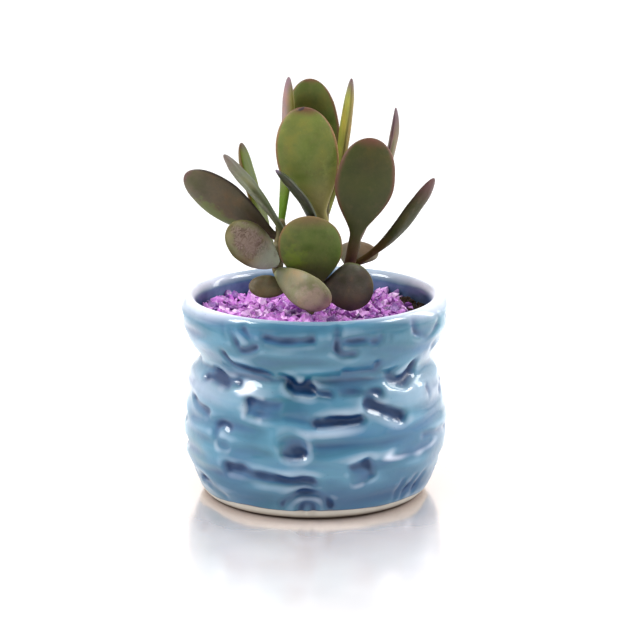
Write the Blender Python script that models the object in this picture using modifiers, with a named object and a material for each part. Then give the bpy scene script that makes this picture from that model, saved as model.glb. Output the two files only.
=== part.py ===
"""A small jade plant in a hand-made ceramic pot, top-dressed with purple gravel. Metres, +Z up.

The origin is the middle of the pot's foot, on the surface that it stands on. The front of the pot looks
along -Y, and angles on the wall are in degrees from there, positive towards +X.
"""

import math
import random

import bmesh
import bpy
from mathutils import Matrix, Vector

# Pot sizes
WALL = 0.0048
LIP_START = 0.066
LIP_RISE = 0.004
FLOOR = 0.0075
FLOOR_RADIUS = 0.033
FOOT_RING_INNER = 0.029
FOOT_RECESS = 0.0016
DRAIN_RADIUS = 0.003
POT_STEPS = 56
OUTER_WALL = (
    (0.0452, 0.0660),
    (0.0453, 0.0635),
    (0.0447, 0.0596),
    (0.0428, 0.0553),
    (0.0403, 0.0510),
    (0.0393, 0.0489),
    (0.0398, 0.0467),
    (0.0410, 0.0446),
    (0.0424, 0.0402),
    (0.0429, 0.0340),
    (0.0443, 0.0273),
    (0.0444, 0.0220),
    (0.0439, 0.0160),
    (0.0424, 0.0110),
    (0.0408, 0.0060),
    (0.0390, 0.0020),
    (0.0370, 0.0000),
)
INNER_HEIGHTS = (0.0120, 0.0220, 0.0340, 0.0430, 0.0489, 0.0550, 0.0610)

# Filling sizes
GAP = 0.0003
SOIL_TOP = 0.0555
SOIL_SHRINK = 0.0006
GRAVEL_BED = 0.0558
GRAVEL_THICKNESS = 0.0060
GRAVEL_INSET = 0.0008
GRAVEL_EDGE = 0.0630
GRAVEL_DIP = 0.0016
GRAVEL_SPREAD = 0.036
CHIPS = 125
CHIP_SIZE = 0.0040
CHIP_CORNERS = (0.75, 1.15)
CHIP_MARGIN = 0.0040
TRUNK_HOLE = 0.0036
HOLE_DEPTH = 0.04
TRUNK_FOOT = (0.0, 0.004, 0.040)

# The stems' routes, each from low to high
TRUNK_ROUTE = (TRUNK_FOOT, (0.0, 0.004, 0.060), (0.0, 0.004, 0.072))
LEFT_ROUTE = (
    (0.0, 0.004, 0.067),
    (-0.0065, 0.0035, 0.0715),
    (-0.0125, 0.003, 0.077),
    (-0.0125, 0.003, 0.0835),
    (-0.0117, 0.0035, 0.088),
    (-0.0112, 0.0042, 0.0925),
)
CENTRE_ROUTE = (
    (0.0, 0.004, 0.067),
    (0.0018, 0.005, 0.08),
    (0.0032, 0.006, 0.09),
    (0.004, 0.007, 0.101),
)
RIGHT_ROUTE = (
    (0.0, 0.004, 0.067),
    (0.006, 0.005, 0.072),
    (0.012, 0.0055, 0.077),
    (0.0145, 0.006, 0.086),
)

# Each stem: its radius at the foot and at the tip, and its route
STEMS = {
    "trunk": (0.0030, 0.0026, TRUNK_ROUTE),
    "left": (0.0023, 0.0017, LEFT_ROUTE),
    "centre": (0.0024, 0.0017, CENTRE_ROUTE),
    "right": (0.0023, 0.0018, RIGHT_ROUTE),
}

# Each leaf: its stem, the height and the side where it leaves it, its tip, where its upper face looks, how
# far its middle bows from a straight line, its width, and its stalk's share of the length. A share below
# zero is a leaf that sits on the stem with a broad base.
LEAVES = {
    "leaf_left_long": (
        "left", 0.089, -100, (-0.044, 0.0025, 0.1112), (0.2, 0.85, 0.45), (0, 0, 0.0008), 0.0168, 0.02
    ),
    "leaf_left_upper": (
        "left", 0.0919, 25, (-0.0305, -0.002, 0.1188), (0.7, -0.1, 0.7), (0.0004, -0.0027, 0.001), 0.0122, 0.07
    ),
    "leaf_left_back": (
        "left", 0.08, 180, (-0.0251, 0.019, 0.1192), (0.85, -0.3, 0.55), (-0.001, 0.001, 0), 0.01, 0.08
    ),
    "leaf_left_tall": (
        "left", 0.0885, 175, (-0.0084, 0.0124, 0.1433), (0.9, 0.35, 0), (0.0009, 0.0019, 0), 0.0105, 0.06
    ),
    "leaf_left_scarred": (
        "left", 0.0803, 0, (-0.0288, -0.009, 0.0954), (0.35, -0.82, 0.1), (-0.0002, -0.0018, 0), 0.014, -0.03
    ),
    "leaf_left_low": (
        "left", 0.0722, -20, (-0.0222, 0.0014, 0.0728), (0, -0.8, 0.6), (0, -0.0014, -0.0003), 0.0088, 0.02
    ),
    "leaf_front_low": (
        "left", 0.0768, -10, (0.0056, -0.0146, 0.0692), (-0.2, -0.95, 0.1), (0, -0.0052, 0.001), 0.0122, -0.04
    ),
    "leaf_centre_front": (
        "centre", 0.092, 20, (-0.0027, 0, 0.1348), (0, 1.0, 0), (-0.0024, -0.0008, 0), 0.0213, 0.1
    ),
    "leaf_centre_back": (
        "centre", 0.097, -160, (-0.0016, 0.018, 0.1418), (-0.2, -1.0, 0.1), (-0.0002, 0.0025, 0), 0.0188, 0.06
    ),
    "leaf_centre_right": (
        "centre", 0.0966, 150, (0.0131, 0.008, 0.1434), (-1.0, -0.2, 0.1), (0.0002, -0.0004, 0), 0.0095, 0.07
    ),
    "leaf_centre_dark": (
        "centre", 0.087, -15, (-0.0127, -0.0095, 0.1148), (0.7, 0.2, 0.6), (0.003, -0.0014, 0.0016), 0.0088, 0.1
    ),
    "leaf_front_round": (
        "trunk", 0.0715, 10, (-0.0016, -0.009, 0.0988), (0, 1.0, 0.2), (-0.0004, 0.0003, 0), 0.022, 0.02
    ),
    "leaf_right_oval": (
        "right", 0.078, 0, (0.0199, -0.005, 0.125), (-0.1, 1.0, 0.1), (0.0002, -0.0015, 0), 0.0205, 0.24
    ),
    "leaf_right_back": (
        "right", 0.0785, -135, (0.0284, 0.016, 0.132), (-1.0, 0.1, 0.2), (0.004, 0.0044, -0.002), 0.0115, 0.1
    ),
    "leaf_right_long": (
        "right", 0.079, 80, (0.0413, 0.002, 0.1099), (-0.7, 0.45, 0.6), (0.001, 0, -0.0012), 0.013, 0.1
    ),
    "leaf_right_low": (
        "trunk", 0.0712, 50, (0.0202, -0.0112, 0.0766), (-0.1, -0.95, 0.25), (0, -0.001, -0.0006), 0.0165, 0.03
    ),
    "leaf_right_hidden": (
        "right", 0.0762, 170, (0.0185, 0.0185, 0.0836), (-0.3, -0.7, 0.7), (0, 0.0004, 0.0005), 0.015, 0.1
    ),
}
LEAF_THICKNESS = 0.0034
LEAF_GAP = 0.0006
LEAF_STEPS = 10
STALK_SHARE = 0.2
WIDEST = 0.56
LEAVING = 0.10
UPPER_SIDE = 0.8
UNDERSIDE = 1.2

# Marks pressed in the front of the wall: a round tool drawn along (angle, height) points, with its width
STROKES = (
    (0.0026, ((-19, 0.0641), (-1, 0.0648))),
    (0.0030, ((10.5, 0.0670), (10.5, 0.0600))),
    (0.0024, ((14.8, 0.0638), (22.5, 0.0632))),
    (0.0020, ((26.0, 0.0628), (26.5, 0.0632))),
    (0.0018, ((29.0, 0.0650), (30.0, 0.0620))),
    (0.0022, ((-36.5, 0.0650), (-34.5, 0.0600))),
    (0.0022, ((-31.5, 0.0665), (-28.5, 0.0640))),
    (0.0022, ((-33.0, 0.0585), (-26.0, 0.0600))),
    (0.0026, ((66.0, 0.0560), (69.0, 0.0545))),
    (0.0024, ((-43.0, 0.0569), (-42.0, 0.0518), (-21.0, 0.0512))),
    (0.0026, ((15.0, 0.0520), (34.0, 0.0505), (52.0, 0.0488))),
    (0.0028, ((15.0, 0.0451), (33.0, 0.0438))),
    (0.0038, ((2.2, 0.0350), (21.5, 0.0358))),
    (0.0040, ((25.5, 0.0408), (42.8, 0.0345))),
    (0.0028, ((55.0, 0.0262), (80.0, 0.0245))),
    (0.0040, ((-41.8, 0.0166), (-29.2, 0.0169), (-14.0, 0.0155), (-0.5, 0.0148))),
    (0.0030, ((-70.0, 0.0362), (-55.0, 0.0341))),
    (0.0026, ((-66.0, 0.0090), (-48.0, 0.0060))),
    (0.0022, ((43.0, 0.0060), (45.5, 0.0116))),
    (0.0022, ((50.0, 0.0060), (53.0, 0.0112))),
    (0.0022, ((57.0, 0.0065), (60.0, 0.0112))),
    (0.0048, ((-10.5, 0.0480), (-0.5, 0.0458))),
    (0.0040, ((-9.0, 0.0450), (-2.5, 0.0490))),
)

# Arcs pressed with a bent edge: width, middle, half size across and up, and the part of the turn it takes
ARCS = (
    (0.0022, (57.0, 0.0670), 0.0075, 0.0065, 180, 360),
    (0.0040, (46.0, 0.0500), 0.0060, 0.0045, 190, 350),
    (0.0020, (-49.5, 0.0462), 0.0115, 0.0026, 0, 360),
    (0.0022, (-43.0, 0.0280), 0.0034, 0.0034, -30, 210),
    (0.0030, (-9.0, 0.0282), 0.0040, 0.0042, 0, 360),
    (0.0020, (49.0, 0.0225), 0.0125, 0.0026, 0, 360),
    (0.0024, (-3.0, 0.0040), 0.0080, 0.0064, 20, 160),
    (0.0030, (-3.0, 0.0035), 0.0030, 0.0026, 0, 180),
)

# Blocks pressed in at a slant: middle, size across and up, turn in the wall, and which side goes deeper
BLOCKS = (
    ((-23.5, 0.0388), 0.0125, 0.0066, -4, -14),
    ((21.0, 0.0180), 0.0088, 0.0084, 24, 16),
)

# Marks at the two sides, between the front and the back
SIDE_STROKES = (
    (0.0028, ((78, 0.0640), (96, 0.0636))),
    (0.0026, ((84, 0.0500), (102, 0.0492))),
    (0.0036, ((80, 0.0385), (98, 0.0415))),
    (0.0034, ((86, 0.0140), (104, 0.0120))),
    (0.0026, ((-78, 0.0630), (-96, 0.0640))),
    (0.0028, ((-76, 0.0508), (-100, 0.0495))),
    (0.0036, ((-82, 0.0280), (-98, 0.0310))),
    (0.0034, ((-80, 0.0190), (-100, 0.0165))),
)

PRESS = 0.32
STROKE_SPACING = 12
ARC_SPACING = 45


def clear_scene():
    for obj in list(bpy.data.objects):
        bpy.data.objects.remove(obj, do_unlink=True)


def new_collection(name):
    collection = bpy.data.collections.new(name)
    bpy.context.scene.collection.children.link(collection)
    return collection


def paint(obj, name, colour, roughness):
    material = bpy.data.materials.new(name)
    material.use_nodes = True
    surface = material.node_tree.nodes["Principled BSDF"]
    surface.inputs["Base Color"].default_value = (*colour, 1)
    surface.inputs["Roughness"].default_value = roughness
    surface.inputs["Metallic"].default_value = 0
    obj.data.materials.clear()
    obj.data.materials.append(material)


def mesh_object(name, bm, collection):
    mesh = bpy.data.meshes.new(name)
    bm.to_mesh(mesh)
    bm.free()
    mesh.shade_smooth()
    mesh.set_sharp_from_angle(angle=math.radians(40))
    obj = bpy.data.objects.new(name, mesh)
    collection.objects.link(obj)
    return obj


def turned(name, profile, steps, collection):
    """A closed profile of (radius, height) points, down its outer side first, turned about the pot's axis."""
    mesh = bpy.data.meshes.new(name)
    points = [(radius, 0, height) for radius, height in profile]
    edges = [(i, (i + 1) % len(points)) for i in range(len(points))]
    mesh.from_pydata(points, edges, [])
    obj = bpy.data.objects.new(name, mesh)
    collection.objects.link(obj)
    screw = obj.modifiers.new("Turn", "SCREW")
    screw.steps = steps
    screw.render_steps = steps
    screw.use_merge_vertices = True
    screw.merge_threshold = 0.00001
    screw.use_smooth_shade = True
    return obj


def applied(obj):
    """The object with its modifiers made part of its mesh."""
    graph = bpy.context.evaluated_depsgraph_get()
    mesh = bpy.data.meshes.new_from_object(obj.evaluated_get(graph))
    obj.modifiers.clear()
    obj.data = mesh
    return obj


def combine(obj, operation, collection):
    boolean = obj.modifiers.new(operation.capitalize(), "BOOLEAN")
    boolean.operation = operation
    boolean.operand_type = "COLLECTION"
    boolean.collection = collection
    boolean.solver = "EXACT"


def tube(name, points, radii, sides, collection):
    """A round bar along the points, as a closed mesh."""
    curve = bpy.data.curves.new(name, "CURVE")
    curve.dimensions = "3D"
    curve.bevel_depth = 1
    curve.bevel_resolution = sides // 2 - 2
    curve.use_fill_caps = True
    spline = curve.splines.new("POLY")
    spline.points.add(len(points) - 1)
    for place, point, radius in zip(spline.points, points, radii):
        place.co = (*point, 1)
        place.radius = radius
    guide = bpy.data.objects.new(name, curve)
    collection.objects.link(guide)
    mesh = bpy.data.meshes.new_from_object(guide.evaluated_get(bpy.context.evaluated_depsgraph_get()))
    bpy.data.objects.remove(guide)
    bm = bmesh.new()
    bm.from_mesh(mesh)
    bpy.data.meshes.remove(mesh)
    bmesh.ops.remove_doubles(bm, verts=bm.verts, dist=0.000001)
    bmesh.ops.recalc_face_normals(bm, faces=bm.faces)
    return mesh_object(name, bm, collection)


def as_cutter(obj):
    obj.hide_render = True
    obj.display_type = "WIRE"


def wall_radius(height):
    """The outer wall's radius at this height."""
    for (upper_r, upper_z), (lower_r, lower_z) in zip(OUTER_WALL, OUTER_WALL[1:]):
        if height >= lower_z:
            share = min(1, (height - lower_z) / (upper_z - lower_z))
            return lower_r + share * (upper_r - lower_r)
    return OUTER_WALL[-1][0]


def on_wall(angle, height, out=0):
    turn = math.radians(angle)
    radius = wall_radius(height) + out
    return Vector((radius * math.sin(turn), -radius * math.cos(turn), height))


def degrees_across(length, height):
    return math.degrees(length / wall_radius(height))


def lip():
    """The rolled lip, from its inner side over the top, without its last point on the outer wall."""
    outer = OUTER_WALL[0][0]
    middle = outer - WALL / 2
    turns = [math.radians(180 - 30 * i) for i in range(6)]
    return [(middle + WALL / 2 * math.cos(a), LIP_START + LIP_RISE * math.sin(a)) for a in turns]


def pot_profile():
    foot = [(FOOT_RING_INNER + FOOT_RECESS, 0), (FOOT_RING_INNER, FOOT_RECESS)]
    drain = [(DRAIN_RADIUS, FOOT_RECESS), (DRAIN_RADIUS, FLOOR)]
    inside = [(FLOOR_RADIUS, FLOOR)] + [(wall_radius(z) - WALL, z) for z in INNER_HEIGHTS]
    return list(OUTER_WALL) + foot + drain + inside + lip()


def stroke_points(points):
    """The points of a stroke, with more between them so that it keeps to the round wall."""
    spaced = [points[0]]
    for (a, low), (b, high) in zip(points, points[1:]):
        pieces = max(1, round(abs(b - a) / STROKE_SPACING))
        spaced += [(a + (b - a) * i / pieces, low + (high - low) * i / pieces) for i in range(1, pieces + 1)]
    return spaced


def arc_points(middle, across, up, start, end):
    angle, height = middle
    pieces = round((end - start) / ARC_SPACING)
    turns = [math.radians(start + (end - start) * i / pieces) for i in range(pieces + 1)]
    wide = degrees_across(across, height)
    return [(angle + wide * math.cos(a), height + up * math.sin(a)) for a in turns]


def press_stroke(name, width, points, collection):
    out = width * (0.5 - PRESS)
    path = [on_wall(angle, height, out) for angle, height in points]
    as_cutter(tube(name, path, [width / 2] * len(path), 6, collection))


def press_block(name, middle, across, up, turn, slant, collection):
    """A block with rounded edges, pressed in deeper on one side."""
    angle, height = middle
    bm = bmesh.new()
    bmesh.ops.create_cube(bm, size=1)
    bmesh.ops.scale(bm, vec=(across, 0.004, up), verts=bm.verts)
    bmesh.ops.bevel(bm, geom=bm.edges, offset=0.0009, segments=1, affect="EDGES")
    lean = Matrix.Rotation(math.radians(slant), 4, "Z")
    spin = Matrix.Rotation(math.radians(turn), 4, "Y")
    face = Matrix.Rotation(math.radians(angle), 4, "Z")
    place = Matrix.Translation(on_wall(angle, height, 0.0008))
    bmesh.ops.transform(bm, matrix=place @ face @ spin @ lean, verts=bm.verts)
    as_cutter(mesh_object(name, bm, collection))


def mirrored(points):
    """The same marks on the far side of the pot."""
    return [(180 - angle, height) for angle, height in points]


def build_marks(collection):
    strokes = [*STROKES, *SIDE_STROKES]
    strokes += [(width, mirrored(points)) for width, points in STROKES]
    for i, (width, points) in enumerate(strokes):
        press_stroke(f"stroke_{i}", width, stroke_points(points), collection)
    for i, (width, *shape) in enumerate(ARCS):
        points = arc_points(*shape)
        press_stroke(f"arc_{i}", width, points, collection)
        press_stroke(f"arc_back_{i}", width, mirrored(points), collection)
    for i, (middle, across, up, turn, slant) in enumerate(BLOCKS):
        press_block(f"block_{i}", middle, across, up, turn, slant, collection)
        behind = (180 - middle[0], middle[1])
        press_block(f"block_back_{i}", behind, across, up, -turn, -slant, collection)


def build_pot(parts, cutters):
    pot = turned("pot", pot_profile(), POT_STEPS, parts)
    build_marks(cutters)
    combine(pot, "DIFFERENCE", cutters)
    paint(pot, "blue glaze", (0.10, 0.32, 0.47), 0.18)


def build_soil(parts, holes):
    """The compost fills the pot up to the gravel, with a plain hole for the trunk."""
    top = (wall_radius(SOIL_TOP) - WALL - GAP - SOIL_SHRINK, SOIL_TOP)
    side = [(wall_radius(z) - WALL - GAP, z) for z in reversed(INNER_HEIGHTS) if z < SOIL_TOP]
    bottom = (FLOOR_RADIUS - GAP, FLOOR + GAP)
    bm = bmesh.new()
    ring = [bm.verts.new((r, 0, z)) for r, z in (top, *side, bottom)]
    edges = [bm.edges.new(pair) for pair in zip(ring, ring[1:])]
    bmesh.ops.spin(
        bm, geom=ring + edges, cent=(0, 0, 0), axis=(0, 0, 1), angle=math.tau, steps=36, use_merge=True
    )
    bmesh.ops.holes_fill(bm, edges=bm.edges, sides=0)
    bmesh.ops.recalc_face_normals(bm, faces=bm.faces)
    soil = mesh_object("potting_soil", bm, parts)
    combine(soil, "DIFFERENCE", holes)
    paint(soil, "dark compost", (0.035, 0.022, 0.016), 0.95)


def gravel_height(x, y):
    """The height of the gravel's surface, a little lower in the middle than at the wall."""
    share = min(1, math.hypot(x, y) / GRAVEL_SPREAD)
    return GRAVEL_EDGE - GRAVEL_DIP * (1 - share**2)


def gravel_chip(name, place, size, rng, collection):
    """A broken stone chip: a block with its corners knocked about."""
    bm = bmesh.new()
    bmesh.ops.create_cube(bm, size=size)
    for vert in bm.verts:
        vert.co *= rng.uniform(*CHIP_CORNERS)
    turn = Matrix.Rotation(rng.uniform(0, math.tau), 4, "Z")
    turn = turn @ Matrix.Rotation(rng.uniform(0.2, 0.9), 4, "X")
    bmesh.ops.transform(bm, matrix=Matrix.Translation(place) @ turn, verts=bm.verts)
    bmesh.ops.triangulate(bm, faces=bm.faces)
    return mesh_object(name, bm, collection)


def build_gravel(parts, holes):
    """Chips fused on a thin bed, evenly spread over the soil by a golden-angle spiral."""
    rng = random.Random(7)
    top = GRAVEL_BED + GRAVEL_THICKNESS
    low_radius, high_radius = (wall_radius(z) - WALL - GRAVEL_INSET for z in (GRAVEL_BED, top))
    bm = bmesh.new()
    bmesh.ops.create_cone(
        bm, cap_ends=True, segments=36, radius1=low_radius, radius2=high_radius, depth=GRAVEL_THICKNESS,
        matrix=Matrix.Translation((0, 0, GRAVEL_BED + GRAVEL_THICKNESS / 2)),
    )
    gravel = mesh_object("gravel", bm, parts)
    chips = new_collection("gravel chips")
    golden = math.pi * (3 - math.sqrt(5))
    for i in range(CHIPS):
        reach = (high_radius - CHIP_MARGIN) * math.sqrt((i + 0.5) / CHIPS)
        x = reach * math.cos(golden * i)
        y = reach * math.sin(golden * i)
        size = CHIP_SIZE * rng.uniform(0.8, 1.05)
        gravel_chip(f"chip_{i}", (x, y, gravel_height(x, y)), size, rng, chips)
    combine(gravel, "UNION", chips)
    applied(gravel)
    for chip in list(chips.objects):
        bpy.data.objects.remove(chip)
    combine(gravel, "DIFFERENCE", holes)
    paint(gravel, "purple gravel", (0.52, 0.17, 0.62), 0.5)


def stem_place(stem, height):
    """The stem's middle and radius at this height."""
    first, last, route = STEMS[stem]
    low, high = next((pair for pair in zip(route, route[1:]) if height <= pair[1][2]))
    share = (height - low[2]) / (high[2] - low[2])
    along = (height - route[0][2]) / (route[-1][2] - route[0][2])
    return Vector(low).lerp(Vector(high), share), first + (last - first) * along


def build_stem(parts):
    """Trunk and branches, grown as one piece, with a bud at the end of each branch."""
    grown = new_collection("branches")
    for name, (first, last, route) in STEMS.items():
        count = len(route)
        radii = [first + (last - first) * i / (count - 1) for i in range(count)]
        tube(f"{name}_stem", [Vector(p) for p in route], radii, 8, grown)
        if name != "trunk":
            bm = bmesh.new()
            bmesh.ops.create_uvsphere(bm, u_segments=8, v_segments=6, radius=1)
            bmesh.ops.scale(bm, vec=(last * 1.05, last * 1.05, last * 1.9), verts=bm.verts)
            bmesh.ops.translate(bm, vec=route[-1], verts=bm.verts)
            mesh_object(f"{name}_bud", bm, grown)
    trunk = grown.objects["trunk_stem"]
    grown.objects.unlink(trunk)
    parts.objects.link(trunk)
    trunk.name = "stem"
    combine(trunk, "UNION", grown)
    applied(trunk)
    for branch in list(grown.objects):
        bpy.data.objects.remove(branch)
    paint(trunk, "stem bark", (0.19, 0.14, 0.07), 0.7)


def half_width(along, stalk):
    """The leaf's half width as a share of the widest, from 0 at its base to 1 at its tip."""
    blade = max(0, (along - stalk) / (1 - stalk))
    if blade < WIDEST:
        open_out = math.sin(math.pi / 2 * blade / WIDEST) ** (0.75 + 2 * stalk)
    else:
        open_out = math.sqrt(max(0, 1 - ((blade - WIDEST) / (1 - WIDEST)) ** 2.2))
    return math.hypot(STALK_SHARE * (1 - blade), open_out)


def on_curve(points, along):
    """The place and the direction on a Bezier curve."""
    a, b, c, d = points
    rest = 1 - along
    spot = a * rest**3 + b * 3 * rest**2 * along + c * 3 * rest * along**2 + d * along**3
    way = (b - a) * rest**2 + (c - b) * 2 * rest * along + (d - c) * along**2
    return spot, way.normalized()


def build_leaf(name, parts, stem, height, side, tip, faces, bow, width, stalk):
    """A fleshy leaf: a stalk that widens to a paddle, flatter above than below, round at the end."""
    middle, radius = stem_place(stem, height)
    turn = math.radians(side)
    outward = Vector((math.sin(turn), -math.cos(turn), 0))
    base = middle + outward * (radius + LEAF_GAP)
    tip = Vector(tip)
    faces = Vector(faces)
    bend = Vector(bow) * 4 / 3
    leaving = base.lerp(tip, 1 / 3) + bend + outward * LEAVING * (tip - base).length
    bending = base.lerp(tip, 2 / 3) + bend
    bm = bmesh.new()
    bmesh.ops.create_uvsphere(bm, u_segments=LEAF_STEPS, v_segments=LEAF_STEPS, radius=1)
    for vert in bm.verts:
        along = (1 - vert.co.z) / 2
        around = math.atan2(vert.co.y, vert.co.x)
        open_out = 0 if abs(vert.co.z) > 0.9999 else half_width(along, stalk)
        spot, way = on_curve((base, leaving, bending, tip), along)
        across = way.cross(faces).normalized()
        up = across.cross(way)
        plump = (0.6 + 0.4 * open_out) * min(1, 5 * open_out)
        plump *= UPPER_SIDE if vert.co.y > 0 else UNDERSIDE
        vert.co = spot + across * (width / 2 * open_out * math.cos(around))
        vert.co += up * (LEAF_THICKNESS / 2 * plump * math.sin(around))
    leaf = mesh_object(name, bm, parts)
    paint(leaf, "jade leaf", (0.12, 0.19, 0.05), 0.4)


def build_trunk_hole(collection):
    bm = bmesh.new()
    x, y, _ = TRUNK_FOOT
    bottom = TRUNK_FOOT[2] - GAP
    bmesh.ops.create_cone(
        bm, cap_ends=True, segments=20, radius1=TRUNK_HOLE, radius2=TRUNK_HOLE, depth=HOLE_DEPTH,
        matrix=Matrix.Translation((x, y, bottom + HOLE_DEPTH / 2)),
    )
    as_cutter(mesh_object("trunk_hole", bm, collection))


def main():
    clear_scene()
    parts = new_collection("potted jade plant")
    marks = new_collection("pressed marks")
    holes = new_collection("holes")
    build_pot(parts, marks)
    build_trunk_hole(holes)
    build_soil(parts, holes)
    build_gravel(parts, holes)
    build_stem(parts)
    for name, leaf in LEAVES.items():
        build_leaf(name, parts, *leaf)


main()
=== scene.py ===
"""The looks of a small jade plant in a hand-made blue pot with a dressing of purple gravel.

The front of the pot looks along -Y. Angles on its wall are in degrees from there, positive towards +X.
"""

import math

import bmesh
import bpy
import numpy as np
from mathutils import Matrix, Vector, noise


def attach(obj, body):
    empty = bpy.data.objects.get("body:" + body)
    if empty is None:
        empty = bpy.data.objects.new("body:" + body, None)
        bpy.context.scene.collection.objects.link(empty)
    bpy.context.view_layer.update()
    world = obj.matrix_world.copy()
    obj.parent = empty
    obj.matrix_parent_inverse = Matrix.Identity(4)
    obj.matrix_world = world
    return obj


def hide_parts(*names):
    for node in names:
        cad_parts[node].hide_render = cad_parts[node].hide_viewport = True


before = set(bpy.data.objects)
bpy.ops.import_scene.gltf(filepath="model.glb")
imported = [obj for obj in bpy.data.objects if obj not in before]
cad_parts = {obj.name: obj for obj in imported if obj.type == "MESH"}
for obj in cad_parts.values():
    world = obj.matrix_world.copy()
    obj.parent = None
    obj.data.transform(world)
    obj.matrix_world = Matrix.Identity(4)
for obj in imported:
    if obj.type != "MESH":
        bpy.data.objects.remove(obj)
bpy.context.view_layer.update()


# The pot
# Stoneware pinched and turned by hand, its wall pressed all over with tools while it was soft, then dipped
# in a blue glaze that pools dark in the marks, breaks pale on edges and the lip, and stops above the foot.
# Its colour also carries painted shade in the marks and the neck crease, and painted highlights on mark rims, the
# shoulders and the lip.

def colour(red, green, blue):
    """A colour as the eye names it, 0 to 255, turned into the linear light that shaders take."""
    parts = [c / 255 for c in (red, green, blue)]
    return [c / 12.92 if c < 0.04045 else ((c + 0.055) / 1.055) ** 2.4 for c in parts] + [1.0]


def put(tree, kind, inputs=None, **settings):
    """One node, with its settings, and with its inputs set or linked."""
    node = tree.nodes.new(kind)
    for name, value in settings.items():
        setattr(node, name, value)
    for name, value in (inputs or {}).items():
        if isinstance(value, bpy.types.NodeSocket):
            tree.links.new(value, node.inputs[name])
        else:
            node.inputs[name].default_value = value
    return node


def blended(tree, share, one, other, how="MIX"):
    """The colour between one and other, or one as other tints it where how is MULTIPLY."""
    mix = put(tree, "ShaderNodeMix", {0: share, 6: one, 7: other}, data_type="RGBA", blend_type=how)
    return mix.outputs[2]


def ranged(tree, value, low, high, to_low=0.0, to_high=1.0, **settings):
    """The value, stretched so that low to high becomes to_low to to_high, and kept within them."""
    limits = {0: value, 1: low, 2: high, 3: to_low, 4: to_high}
    return put(tree, "ShaderNodeMapRange", limits, **settings).outputs[0]


def layered(tree, base, *layers):
    """The base colour under more: each layer has a value, its range, the layer's share at both ends if that
    isn't 0 and 1, and a colour."""
    for *limits, tone in layers:
        base = blended(tree, ranged(tree, *limits), base, colour(*tone))
    return base


def calculated(tree, how, one, other=0.0):
    return put(tree, "ShaderNodeMath", {0: one, 1: other}, operation=how).outputs[0]


def noisy(tree, place, scale, detail=3.0, roughness=0.55):
    inputs = {"Vector": place, "Scale": scale, "Detail": detail, "Roughness": roughness}
    return put(tree, "ShaderNodeTexNoise", inputs).outputs[0]


def stretched(tree, place, *scale):
    return put(tree, "ShaderNodeMapping", {"Vector": place, "Scale": scale}).outputs[0]


def new_material(name, settings):
    """A material with its Principled shader's constant settings made."""
    material = bpy.data.materials.new(name)
    material.use_nodes = True
    shader = material.node_tree.nodes["Principled BSDF"]
    for socket, value in settings.items():
        shader.inputs[socket].default_value = value
    return material, material.node_tree, shader


def own_place(tree):
    return put(tree, "ShaderNodeTexCoord").outputs["Object"]


def attribute(tree, name, output="Fac"):
    return put(tree, "ShaderNodeAttribute", attribute_name=name).outputs[output]


def surface(tree, shader, tone, roughness, relief, strength, depth):
    """Links the shader's colour and roughness, and its fine relief as bumps this many metres high."""
    bump = put(tree, "ShaderNodeBump", {"Height": relief, "Strength": strength, "Distance": depth})
    for socket, value in (("Base Color", tone), ("Roughness", roughness), ("Normal", bump.outputs[0])):
        tree.links.new(value, shader.inputs[socket])


def placed(name, data):
    """An object of the scene with this mesh, lamp or camera."""
    obj = bpy.data.objects.new(name, data)
    bpy.context.scene.collection.objects.link(obj)
    return obj


def piece(name, vertices, faces, material, attributes):
    """A finished mesh in place, with smooth shading and its per-vertex values."""
    mesh = bpy.data.meshes.new(name)
    mesh.from_pydata(vertices, [], faces)
    for key, values in attributes.items():
        values = np.asarray(values, np.float32)
        kind, field = ("FLOAT", "value") if values.ndim == 1 else ("FLOAT_VECTOR", "vector")
        mesh.attributes.new(key, kind, "POINT").data.foreach_set(field, values.ravel())
    mesh.shade_smooth()
    mesh.materials.append(material)
    return placed(name, mesh)


WALL = 0.0048
LIP_START = 0.066
LIP_RISE = 0.004
FLOOR = 0.0075
FOOT_RECESS = 0.0016
DRAIN_RADIUS = 0.003
OUTER_WALL = (
    (0.0370, 0.0000), (0.0390, 0.0020), (0.0408, 0.0060), (0.0424, 0.0110), (0.0439, 0.0160),
    (0.0444, 0.0220), (0.0443, 0.0273), (0.0429, 0.0340), (0.0424, 0.0402), (0.0410, 0.0446),
    (0.0398, 0.0467), (0.0393, 0.0489), (0.0403, 0.0510), (0.0428, 0.0553), (0.0447, 0.0596),
    (0.0453, 0.0635), (0.0452, 0.0660),
)

# The mesh's columns round the pot, denser at the front, its rows up the wall and over the lip, the row where
# the lip is palest, and the row where the lining's own glaze starts
COLUMNS = 470
FRONT_CROWDING = 0.3
OUTER_ROWS = 148
LIP_ROWS = 16
PALEST_ROW = OUTER_ROWS + 9.5
LINED_FROM = OUTER_ROWS + 12


def wall_radius(height):
    radii, heights = zip(*OUTER_WALL)
    return np.interp(height, heights, radii)


def bell(values, middle, reach):
    """1 where the values are at the middle, falling softly to nothing over this reach."""
    return np.exp(-(((values - middle) / reach) ** 2))


def soft_wall(heights):
    """The outer wall's radius with its corners smoothed, as thrown clay has them."""
    reach = np.linspace(-0.003, 0.003, 25)
    weights = bell(reach, 0, 0.0012)
    samples = np.asarray(heights)[:, None] + reach[None, :]
    return (wall_radius(samples) * weights).sum(1) / weights.sum()


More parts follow.
